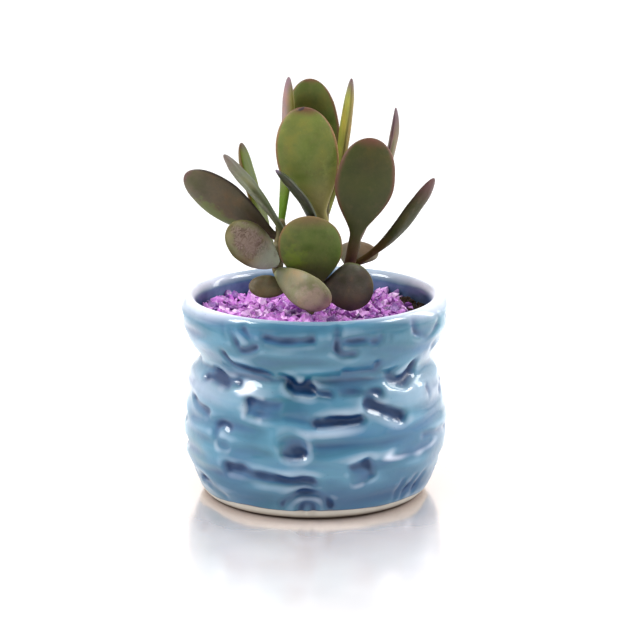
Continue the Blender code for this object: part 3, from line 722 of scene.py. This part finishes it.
def tube_parts(path, radii, sides, first):
    """The rings and faces of a closed round bar along the path."""
    vertices, faces = [], []
    side = Vector((1, 0.2, 0))
    for i, (spot, radius) in enumerate(zip(path, radii)):
        way = (path[min(i + 1, len(path) - 1)] - path[max(i - 1, 0)]).normalized()
        side = (side - way * side.dot(way)).normalized()
        other = way.cross(side)
        for j in range(sides):
            turn = 2 * math.pi * j / sides
            bumpy = 1 + 0.06 * noise.noise(spot * 700 + Vector((j, 0, 0)))
            vertices.append(spot + (side * math.cos(turn) + other * math.sin(turn)) * radius * bumpy)
    for i in range(len(path) - 1):
        for j in range(sides):
            a, b = first + i * sides + j, first + i * sides + (j + 1) % sides
            faces.append((a, b, b + sides, a + sides))
    last = first + (len(path) - 1) * sides
    faces.append([first + j for j in reversed(range(sides))])
    faces.append([last + j for j in range(sides)])
    return vertices, faces


stem_vertices, stem_faces = [], []
for name, (first_radius, last_radius, route) in STEMS.items():
    low, high = route[0][2], route[-1][2]
    count = round((high - low) / 0.0006)
    spots = [stem_place(name, low + (high - low) * i / count)[0] for i in range(count + 1)]
    for _ in range(6):
        middle = [(a + 2 * b + c) / 4 for a, b, c in zip(spots, spots[1:], spots[2:])]
        spots = [spots[0], *middle, spots[-1]]
    radii = []
    for i in range(count + 1):
        share = i / count
        ringed = 0.00022 * max(0, math.cos(2 * math.pi * (share * (high - low) / 0.0062))) ** 6
        radii.append(first_radius + (last_radius - first_radius) * share + ringed)
    if name != "trunk":
        way = (spots[-1] - spots[-3]).normalized()
        for i in range(1, 7):
            turn = math.pi / 2 * i / 6
            spots.append(spots[count] + way * 0.0028 * math.sin(turn))
            radii.append(max(0.00012, last_radius * math.cos(turn)))
    vertices, faces = tube_parts(spots, radii, 14, len(stem_vertices))
    stem_vertices += vertices
    stem_faces += faces

bark_material, tree, shader = new_material("stem bark", {"Metallic": 0.0, "Specular IOR Level": 0.35})
place = own_place(tree)
rings = noisy(tree, stretched(tree, place, 0.35, 0.35, 2.0), 700.0)
blotch = noisy(tree, place, 260.0, 3.0)
body = layered(
    tree, colour(74, 70, 42), (blotch, 0.35, 0.65, (104, 94, 58)), (rings, 0.55, 0.75, 0, 0.7, (64, 52, 36)))
surface(tree, shader, body, ranged(tree, rings, 0.3, 0.7, 0.55, 0.8), rings, 0.5, 0.0004)
stem = piece("woody_stem", [tuple(v) for v in stem_vertices], stem_faces, bark_material, {})
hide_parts("stem")
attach(stem, "root")


# The leaves
# Fleshy paddles full of water, with a waxy skin. Sun has turned their edges wine red and browned some of
# them, and each leaves the stem on a short, thick stalk.

LEAF_THICKNESS = 0.0034
STALK_SHARE = 0.2
WIDEST = 0.56
LEAVING = 0.10
LEAF_ROWS = 56
LEAF_SIDES = 32

# Each leaf: its stem, the height and the side where it leaves it, its tip, where its upper face looks, how
# far its middle bows from a straight line, its width, and its stalk's share of the length (below zero where
# the leaf sits on the stem with a broad base)
LEAVES = {
    "leaf_left_long": (
        "left", 0.089, -100, (-0.044, 0.0025, 0.1112), (0.2, 0.85, 0.45), (0, 0, 0.0008), 0.0168, 0.02),
    "leaf_left_upper": (
        "left", 0.0919, 25, (-0.0305, -0.002, 0.1188), (0.7, -0.1, 0.7), (0.0004, -0.0027, 0.001), 0.0122, 0.07),
    "leaf_left_back": (
        "left", 0.08, 180, (-0.0251, 0.019, 0.1192), (0.85, -0.3, 0.55), (-0.001, 0.001, 0), 0.01, 0.08),
    "leaf_left_tall": (
        "left", 0.0885, 175, (-0.0084, 0.0124, 0.1433), (0.9, 0.35, 0), (0.0009, 0.0019, 0), 0.0105, 0.06),
    "leaf_left_scarred": (
        "left", 0.0803, 0, (-0.0288, -0.009, 0.0954), (0.35, -0.82, 0.1), (-0.0002, -0.0018, 0), 0.014, -0.03),
    "leaf_left_low": (
        "left", 0.0722, -20, (-0.0222, 0.0014, 0.0728), (0, -0.8, 0.6), (0, -0.0014, -0.0003), 0.0088, 0.02),
    "leaf_front_low": (
        "left", 0.0768, -10, (0.0056, -0.0146, 0.0692), (-0.2, -0.95, 0.1), (0, -0.0052, 0.001), 0.0122, -0.04),
    "leaf_centre_front": (
        "centre", 0.092, 20, (-0.0027, 0, 0.1348), (0, 1.0, 0), (-0.0024, -0.0008, 0), 0.0213, 0.1),
    "leaf_centre_back": (
        "centre", 0.097, -160, (-0.0016, 0.018, 0.1418), (-0.2, -1.0, 0.1), (-0.0002, 0.0025, 0), 0.0188, 0.06),
    "leaf_centre_right": (
        "centre", 0.0966, 150, (0.0131, 0.008, 0.1434), (-1.0, -0.2, 0.1), (0.0002, -0.0004, 0), 0.0095, 0.07),
    "leaf_centre_dark": (
        "centre", 0.087, -15, (-0.0127, -0.0095, 0.1148), (0.7, 0.2, 0.6), (0.003, -0.0014, 0.0016), 0.0088, 0.1),
    "leaf_front_round": (
        "trunk", 0.0715, 10, (-0.0016, -0.009, 0.0988), (0, 1.0, 0.2), (-0.0004, 0.0003, 0), 0.022, 0.02),
    "leaf_right_oval": (
        "right", 0.078, 0, (0.0199, -0.005, 0.125), (-0.1, 1.0, 0.1), (0.0002, -0.0015, 0), 0.0205, 0.24),
    "leaf_right_back": (
        "right", 0.0785, -135, (0.0284, 0.016, 0.132), (-1.0, 0.1, 0.2), (0.004, 0.0044, -0.002), 0.0115, 0.1),
    "leaf_right_long": (
        "right", 0.079, 80, (0.0413, 0.002, 0.1099), (-0.7, 0.45, 0.6), (0.001, 0, -0.0012), 0.013, 0.1),
    "leaf_right_low": (
        "trunk", 0.0712, 50, (0.0202, -0.0112, 0.0766), (-0.1, -0.95, 0.25), (0, -0.001, -0.0006), 0.0165, 0.03),
    "leaf_right_hidden": (
        "right", 0.0762, 170, (0.0185, 0.0185, 0.0836), (-0.3, -0.7, 0.7), (0, 0.0004, 0.0005), 0.015, 0.1),
}

# The flesh on the two faces, the edges (where across is -1, then +1), the tip and the stalk of each leaf
LEAF_COLOURS = {
    "leaf_left_long": ((74, 70, 46), (72, 64, 46), (42, 32, 28), (88, 88, 44), (80, 54, 52), (64, 52, 36)),
    "leaf_left_upper": ((88, 94, 68), (78, 84, 58), (104, 106, 86), (84, 86, 64), (84, 72, 66),
                        (98, 106, 62)),
    "leaf_left_back": ((94, 106, 8), (80, 62, 20), (88, 68, 28), (106, 120, 10), (80, 52, 34),
                       (94, 98, 30)),
    "leaf_left_tall": ((108, 104, 52), (120, 100, 98), (96, 90, 34), (140, 118, 126), (104, 80, 88),
                       (84, 114, 20)),
    "leaf_left_scarred": ((112, 108, 80), (106, 102, 74), (88, 82, 48), (84, 80, 46), (88, 80, 46),
                          (172, 180, 156)),
    "leaf_left_low": ((72, 66, 42), (66, 60, 38), (88, 78, 50), (66, 58, 38), (84, 66, 48), (78, 78, 48)),
    "leaf_front_low": ((118, 114, 88), (112, 108, 82), (112, 108, 78), (100, 92, 68), (146, 124, 104),
                       (112, 114, 80)),
    "leaf_centre_front": ((98, 106, 50), (96, 104, 48), (120, 80, 48), (118, 84, 60), (88, 56, 42),
                          (150, 140, 86)),
    "leaf_centre_back": ((84, 92, 42), (82, 90, 42), (104, 68, 48), (100, 66, 48), (96, 62, 46),
                         (92, 104, 50)),
    "leaf_centre_right": ((126, 126, 52), (116, 104, 52), (104, 78, 50), (112, 104, 48), (74, 48, 54),
                          (124, 126, 62)),
    "leaf_centre_dark": ((48, 56, 34), (44, 48, 30), (46, 48, 36), (46, 46, 32), (84, 72, 88), (44, 52, 30)),
    "leaf_front_round": ((93, 106, 50), (91, 104, 48), (104, 82, 50), (112, 84, 56), (108, 88, 58),
                         (96, 110, 56)),
    "leaf_right_oval": ((58, 59, 26), (55, 56, 23), (88, 56, 42), (84, 54, 40), (86, 56, 42), (78, 56, 34)),
    "leaf_right_back": ((116, 90, 86), (98, 84, 62), (124, 94, 98), (112, 84, 84), (72, 48, 58),
                        (92, 70, 62)),
    "leaf_right_long": ((54, 50, 18), (42, 42, 12), (50, 48, 20), (40, 34, 16), (78, 54, 54), (74, 56, 26)),
    "leaf_right_low": ((58, 53, 44), (55, 50, 41), (76, 78, 46), (66, 56, 43), (76, 68, 50), (80, 74, 57)),
    "leaf_right_hidden": ((102, 94, 76), (98, 90, 72), (100, 92, 74), (104, 94, 78), (100, 86, 72),
                          (104, 94, 72)),
}


def half_width(along, stalk):
    """The leaf's half width as a share of the widest, from 0 at its base to 1 at its tip."""
    blade = np.clip((along - stalk) / (1 - stalk), 0, 1)
    opening = np.sin(np.pi / 2 * np.minimum(blade / WIDEST, 1)) ** (0.75 + 2 * stalk)
    closing = np.sqrt(np.clip(1 - (np.clip(blade - WIDEST, 0, 1) / (1 - WIDEST)) ** 2.2, 0, 1))
    return np.hypot(STALK_SHARE * (1 - blade), np.where(blade < WIDEST, opening, closing))


def leaf_parts(number, stem, height, side, tip, faces, bow, width, stalk):
    """Vertices, faces and the place on the blade (across, along, upper or under) of one leaf."""
    middle, radius = stem_place(stem, height)
    turn = math.radians(side)
    outward = Vector((math.sin(turn), -math.cos(turn), 0))
    base = middle + outward * (radius - 0.0006)
    tip, faces, bend = Vector(tip), Vector(faces), Vector(bow) * 4 / 3
    leaving = base.lerp(tip, 1 / 3) + bend + outward * LEAVING * (tip - base).length
    bending = base.lerp(tip, 2 / 3) + bend
    vertices, blade = [base], [(0, 0, 0)]
    for i in range(1, LEAF_ROWS):
        along = (1 - math.cos(math.pi * i / LEAF_ROWS)) / 2
        rest = 1 - along
        spot = base * rest**3 + leaving * 3 * rest**2 * along + bending * 3 * rest * along**2 + tip * along**3
        way = (leaving - base) * rest**2 + (bending - leaving) * 2 * rest * along + (tip - bending) * along**2
        across = way.cross(faces).normalized()
        up = across.cross(way).normalized()
        open_out = float(half_width(np.array(along), stalk))
        open_out *= 1 + 0.025 * noise.noise(Vector((along * 6, number * 3.1, 0)))
        plump = (0.6 + 0.4 * open_out) * min(1, 5 * open_out) * min(1, (1 - along) / 0.15) ** 0.4
        for j in range(LEAF_SIDES):
            turn = 2 * math.pi * j / LEAF_SIDES
            x, high = math.cos(turn), math.sin(turn)
            thick = abs(high) ** 1.25 * (0.8 if high > 0 else -1.2)
            channel = 0.22 * math.exp(-((x / 0.4) ** 2)) * open_out if high > 0 else 0
            ripple = 0.00035 * noise.noise(Vector((along * 5, x * 1.6, number * 7.3))) * open_out
            lift = LEAF_THICKNESS / 2 * plump * (thick - channel) + ripple
            vertices.append(spot + across * (width / 2 * open_out * x) + up * lift)
            blade.append((x, along, high))
    vertices.append(tip)
    blade.append((0, 1, 0))
    shown = [(0, 1 + (j + 1) % LEAF_SIDES, 1 + j) for j in range(LEAF_SIDES)]
    for i in range(LEAF_ROWS - 2):
        for j in range(LEAF_SIDES):
            a, b = 1 + i * LEAF_SIDES + j, 1 + i * LEAF_SIDES + (j + 1) % LEAF_SIDES
            shown.append((a, b, b + LEAF_SIDES, a + LEAF_SIDES))
    last, start = len(vertices) - 1, 1 + (LEAF_ROWS - 2) * LEAF_SIDES
    shown += [(last, start + j, start + (j + 1) % LEAF_SIDES) for j in range(LEAF_SIDES)]
    return vertices, shown, blade


# Patches that differ from the rest of a leaf: colour, where it is (across, along) and its half length
LEAF_PATCHES = {
    "leaf_left_scarred": ((128, 109, 98), (0.1, 0.62), 0.42),
    "leaf_left_long": ((82, 90, 40), (0.85, 0.55), 0.30),
    "leaf_centre_front": ((122, 126, 62), (-0.9, 0.30), 0.30),
    "leaf_front_round": ((104, 122, 40), (0.5, 0.45), 0.22),
    "leaf_front_low": ((142, 126, 108), (0.2, 0.95), 0.50),
}

# A dark nick in a leaf's rim or face: where it is (across, along) and its half length
LEAF_NICKS = {
    "leaf_centre_front": ((0.45, 0.985), 0.028),
}

# Where the looks of a leaf's parts end: edge width, tip length, stalk length, how worn, how mottled the patch
LEAF_ZONES = {
    "leaf_left_scarred": (0.26, 0.08, 0.44, 0.3, 1.0),
    "leaf_left_tall": (0.80, 0.12, 0.50, 0.1, 0.0),
    "leaf_left_upper": (0.16, 0.40, 0.30, 0.2, 0.0),
    "leaf_left_back": (0.12, 0.10, 0.30, 0.1, 0.0),
    "leaf_centre_right": (0.12, 0.16, 0.30, 0.1, 0.0),
    "leaf_right_back": (0.14, 0.20, 0.30, 0.3, 0.0),
    "leaf_centre_front": (0.12, 0.085, 0.45, 0.2, 0.0),
    "leaf_centre_back": (0.16, 0.05, 0.30, 0.1, 0.0),
    "leaf_front_round": (0.10, 0.20, 0.30, 0.2, 0.0),
    "leaf_right_oval": (0.19, 0.09, 0.30, 0.15, 0.0),
    "leaf_right_long": (0.12, 0.30, 0.40, 0.2, 0.0),
    "leaf_front_low": (0.14, 0.12, 0.30, 0.3, 0.0),
}


TONES = ("Upper", "Under", "One edge", "Other edge", "Tip", "Stalk", "Patch")
MEASURES = ("Edge width", "Tip length", "Stalk length", "Weathering", "Mottling", "Patch size", "Nick size")


def tinted(tree, tone, red, green, blue):
    return blended(tree, 1.0, tone, (red, green, blue, 1), "MULTIPLY")


def leaf_skin():
    """The colour, gloss and fine relief of a jade leaf's skin, from its place on the blade."""
    tree = bpy.data.node_groups.new("leaf skin", "ShaderNodeTree")
    add_sockets(tree, "INPUT", "Color", *TONES)
    add_sockets(tree, "INPUT", "Float", *MEASURES)
    add_sockets(tree, "INPUT", "Vector", "Patch place", "Nick place")
    add_sockets(tree, "OUTPUT", "Color", "Color")
    add_sockets(tree, "OUTPUT", "Float", "Roughness", "Relief")
    given = put(tree, "NodeGroupInput").outputs
    place = own_place(tree)
    blade = put(tree, "ShaderNodeSeparateXYZ", {0: attribute(tree, "blade", "Vector")}).outputs
    cloud = noisy(tree, place, 170.0, 4.0, 0.6)
    fine = noisy(tree, place, 900.0, 3.0, 0.6)
    flesh = blended(tree, ranged(tree, blade["Z"], -0.15, 0.15), given["Under"], given["Upper"])
    darker, lighter = tinted(tree, flesh, 0.62, 0.60, 0.52), tinted(tree, flesh, 1.35, 1.30, 1.15)
    flesh = blended(tree, ranged(tree, cloud, 0.5, 0.3, 0, 0.55), flesh, darker)
    flesh = blended(tree, ranged(tree, cloud, 0.5, 0.7, 0, 0.55), flesh, lighter)
    ripe = noisy(tree, place, 85.0, 4.0, 0.6)
    browner, greener = tinted(tree, flesh, 1.30, 0.92, 0.80), tinted(tree, flesh, 0.88, 1.10, 0.60)
    flesh = blended(tree, ranged(tree, ripe, 0.5, 0.66, 0, 0.6), flesh, browner)
    flesh = blended(tree, ranged(tree, ripe, 0.5, 0.34, 0, 0.7), flesh, greener)
    torn = noisy(tree, place, 330.0, 3.0, 0.65)
    within = {}
    for key, ragged, aside in (("Patch", 0.13, 0.5), ("Nick", 0.008, 0.08)):
        away = put(tree, "ShaderNodeVectorMath", {
            0: attribute(tree, "blade", "Vector"), 1: given[key + " place"]}, operation="SUBTRACT").outputs[0]
        away = put(tree, "ShaderNodeVectorMath", {0: away, 1: (aside, 1.0, 0.0)}, operation="MULTIPLY").outputs[0]
        away = put(tree, "ShaderNodeVectorMath", {0: away}, operation="LENGTH").outputs["Value"]
        away = calculated(tree, "ADD", away, ranged(tree, torn, 0.3, 0.7, -ragged, ragged))
        within[key] = calculated(tree, "SUBTRACT", given[key + " size"], away)
    wrinkles = put(tree, "ShaderNodeTexWave", {
        "Vector": place, "Scale": 95.0, "Distortion": 26.0, "Detail": 6.0, "Detail Scale": 3.0,
    }).outputs["Fac"]
    shown = ranged(tree, cloud, 0.35, 0.6, 0.2, 1)
    creased = calculated(tree, "MULTIPLY", ranged(tree, wrinkles, 0.8, 0.1), shown)
    creased = calculated(tree, "MULTIPLY", creased, given["Mottling"])
    patch = blended(tree, creased, given["Patch"], tinted(tree, given["Patch"], 0.36, 0.31, 0.28))
    patched = ranged(tree, within["Patch"], 0.0, 0.16, 0, 0.9)
    flesh = blended(tree, patched, flesh, patch)
    wide = calculated(tree, "ADD", given["Edge width"], ranged(tree, cloud, 0.3, 0.7, -0.03, 0.03))
    start = calculated(tree, "SUBTRACT", 1.0, wide)
    away = calculated(tree, "ABSOLUTE", blade["X"])
    near_edge = ranged(tree, away, start, 1.0, interpolation_type="SMOOTHSTEP")
    edge = blended(tree, ranged(tree, blade["X"], -0.1, 0.1), given["One edge"], given["Other edge"])
    skin = blended(tree, near_edge, flesh, edge)
    tip_start = calculated(tree, "SUBTRACT", 1.0, given["Tip length"])
    uneven = calculated(tree, "ADD", blade["Y"], ranged(tree, cloud, 0.3, 0.7, -0.012, 0.012))
    near_tip = ranged(tree, uneven, tip_start, 1.0, interpolation_type="SMOOTHSTEP")
    skin = blended(tree, near_tip, skin, given["Tip"])
    near_stem = calculated(tree, "MULTIPLY", given["Stalk length"], 0.4)
    reach = ranged(tree, uneven, given["Stalk length"], near_stem)
    skin = blended(tree, reach, skin, given["Stalk"])
    dots = put(tree, "ShaderNodeTexVoronoi", {"Vector": place, "Scale": 700.0}).outputs["Distance"]
    pale = tinted(tree, skin, 1.5, 1.45, 1.3)
    skin = blended(tree, ranged(tree, dots, 0.22, 0.05, 0, 0.35), skin, pale)
    spots = ranged(tree, noisy(tree, place, 320.0, 5.0, 0.7), 0.56, 0.68)
    worn = calculated(tree, "MULTIPLY", given["Weathering"], spots)
    skin = blended(tree, worn, skin, colour(96, 74, 52))
    nicked = ranged(tree, within["Nick"], 0.0, 0.01, 0, 0.85)
    skin = blended(tree, nicked, skin, colour(40, 34, 42))
    relief = calculated(tree, "MULTIPLY", cloud, 1.2)
    relief = calculated(tree, "ADD", relief, calculated(tree, "MULTIPLY", fine, 0.35))
    relief = calculated(tree, "SUBTRACT", relief, calculated(tree, "MULTIPLY", worn, 0.4))
    relief = calculated(tree, "SUBTRACT", relief, calculated(tree, "MULTIPLY", patched, creased))
    relief = calculated(tree, "SUBTRACT", relief, nicked)
    put(tree, "NodeGroupOutput", {
        "Color": skin, "Roughness": ranged(tree, cloud, 0.3, 0.7, 0.42, 0.56), "Relief": relief})
    return tree


skin_group = leaf_skin()
for number, (name, spec) in enumerate(LEAVES.items()):
    material, tree, shader = new_material(name.replace("leaf_", "jade skin "), {
        "Metallic": 0.0,
        "Specular IOR Level": 0.08 if name == "leaf_right_long" else 0.22,
        "Subsurface Weight": 0.12,
        "Subsurface Radius": (0.6, 1.0, 0.25),
        "Subsurface Scale": 0.0015,
    })
    patch, patch_place, patch_size = LEAF_PATCHES.get(name, (LEAF_COLOURS[name][0], (0, 0), -1))
    nick_place, nick_size = LEAF_NICKS.get(name, ((0, 0), -1))
    zones = LEAF_ZONES.get(name, (0.12, 0.06, 0.30, 0.25, 0.0))
    looks = {key: colour(*tone) for key, tone in zip(TONES, (*LEAF_COLOURS[name], patch))}
    looks.update(zip(MEASURES, (*zones, patch_size, nick_size)))
    looks.update({"Patch place": (*patch_place, 0), "Nick place": (*nick_place, 0)})
    skin = put(tree, "ShaderNodeGroup", looks, node_tree=skin_group).outputs
    surface(tree, shader, skin["Color"], skin["Roughness"], skin["Relief"], 0.35, 0.0005)
    vertices, faces, blade = leaf_parts(number, *spec)
    vertices = [tuple(v) for v in vertices]
    leaf = piece(name.replace("leaf_", "jade_"), vertices, faces, material, {"blade": blade})
    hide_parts(name)
    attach(leaf, "root")


# The studio
# A glossy white table under big soft lights, and a long lens a little above the pot's rim.

TARGET = Vector((0.00227, 0, 0.0603))
DISTANCE = 0.9469
ELEVATION = math.radians(13.6)

camera_data = bpy.data.cameras.new("camera")
camera_data.lens_unit = "FOV"
camera_data.angle = 2 * math.atan(320 / 2735)
camera_data.clip_start = 0.01
camera = placed("camera", camera_data)
camera.location = TARGET + DISTANCE * Vector((0, -math.cos(ELEVATION), math.sin(ELEVATION)))
camera.rotation_euler = (math.pi / 2 - ELEVATION, 0, 0)
bpy.context.scene.camera = camera

floor_material, tree, shader = new_material("white acrylic", {
    "Roughness": 0.18,
    "Specular IOR Level": 0.0,
    "Emission Strength": 0.2,
})
# Polished round the pot, matter farther off, with a painted contact shadow tinting it darker and warmer round the
# pot, and brightened far off as a lit backdrop is
place = own_place(tree)
reach = put(tree, "ShaderNodeVectorMath", {0: place}, operation="LENGTH").outputs["Value"]
smudge = noisy(tree, place, 30.0, 2.0)
seen = put(tree, "ShaderNodeLightPath").outputs["Is Camera Ray"]
polish = calculated(tree, "MULTIPLY", ranged(tree, reach, 0.037, 0.320, 0.82, 0.0), seen)
polish = calculated(tree, "MULTIPLY", polish, ranged(tree, smudge, 0.3, 0.7, 0.95, 1.0))
# Painted contact shadow: darker and warmer round the pot, for the camera only
contact_shadow = calculated(tree, "MULTIPLY", ranged(tree, reach, 0.04, 0.25, 1, 0), seen)
tone = blended(tree, contact_shadow, (0.97, 0.97, 0.97, 1), (0.98, 0.88, 0.84, 1))
far = calculated(tree, "MULTIPLY", ranged(tree, reach, 0.4, 1.2), seen)
glow = blended(tree, far, (0, 0, 0, 1), (1, 1, 1, 1))
for socket, value in (("Metallic", polish), ("Base Color", tone), ("Emission Color", glow)):
    tree.links.new(value, shader.inputs[socket])
bm = bmesh.new()
bmesh.ops.create_grid(bm, x_segments=8, y_segments=8, size=3.0)
table_mesh = bpy.data.meshes.new("table")
bm.to_mesh(table_mesh)
bm.free()
table_mesh.materials.append(floor_material)
table = placed("table", table_mesh)


def lamp(name, kind, place, strength, **settings):
    """A soft light that looks at the middle of the plant."""
    light = bpy.data.lights.new(name, kind)
    light.energy = strength
    for setting, value in settings.items():
        setattr(light, setting, value)
    obj = placed(name, light)
    obj.location = place
    obj.rotation_euler = (Vector(place) - Vector((0, 0, 0.06))).to_track_quat("Z", "Y").to_euler()


lamp("overhead", "SUN", (-0.08, -0.08, 1.0), 2.0, angle=math.radians(50))
lamp("left window", "AREA", (-0.52, -0.13, 0.50), 5.0, shape="RECTANGLE", size=0.30, size_y=0.24)
lamp("right window", "AREA", (0.54, -0.05, 0.47), 3.8, shape="RECTANGLE", size=0.26, size_y=0.24)
lamp("rim strip", "AREA", (0.50, 0.25, 0.30), 1.1, shape="RECTANGLE", size=0.10, size_y=0.36)

world = bpy.data.worlds.new("studio")
world.use_nodes = True
tree = world.node_tree
ray = put(tree, "ShaderNodeLightPath").outputs
# Reflections see a white room, brightest at the sides
towards = put(tree, "ShaderNodeSeparateXYZ", {0: put(tree, "ShaderNodeTexCoord").outputs["Generated"]}).outputs
sideways = ranged(tree, calculated(tree, "ABSOLUTE", towards["X"]), 0.45, 0.9, 0.0, 1.1)
room = calculated(tree, "ADD", ranged(tree, towards["Y"], -0.6, 0.3, 1.04, 1.1), sideways)
soft = calculated(tree, "MULTIPLY", room, 0.20)
strength = put(tree, "ShaderNodeMix", {0: ray["Is Glossy Ray"], 2: soft, 3: room}).outputs[0]
strength = put(tree, "ShaderNodeMix", {0: ray["Is Camera Ray"], 2: strength, 3: 1.15}).outputs[0]
tree.links.new(strength, tree.nodes["Background"].inputs["Strength"])
tree.nodes["Background"].inputs["Color"].default_value = (1.0, 1.0, 1.0, 1)
bpy.context.scene.world = world
bpy.context.scene.view_settings.view_transform = "Standard"
bpy.context.scene.view_settings.look = "None"
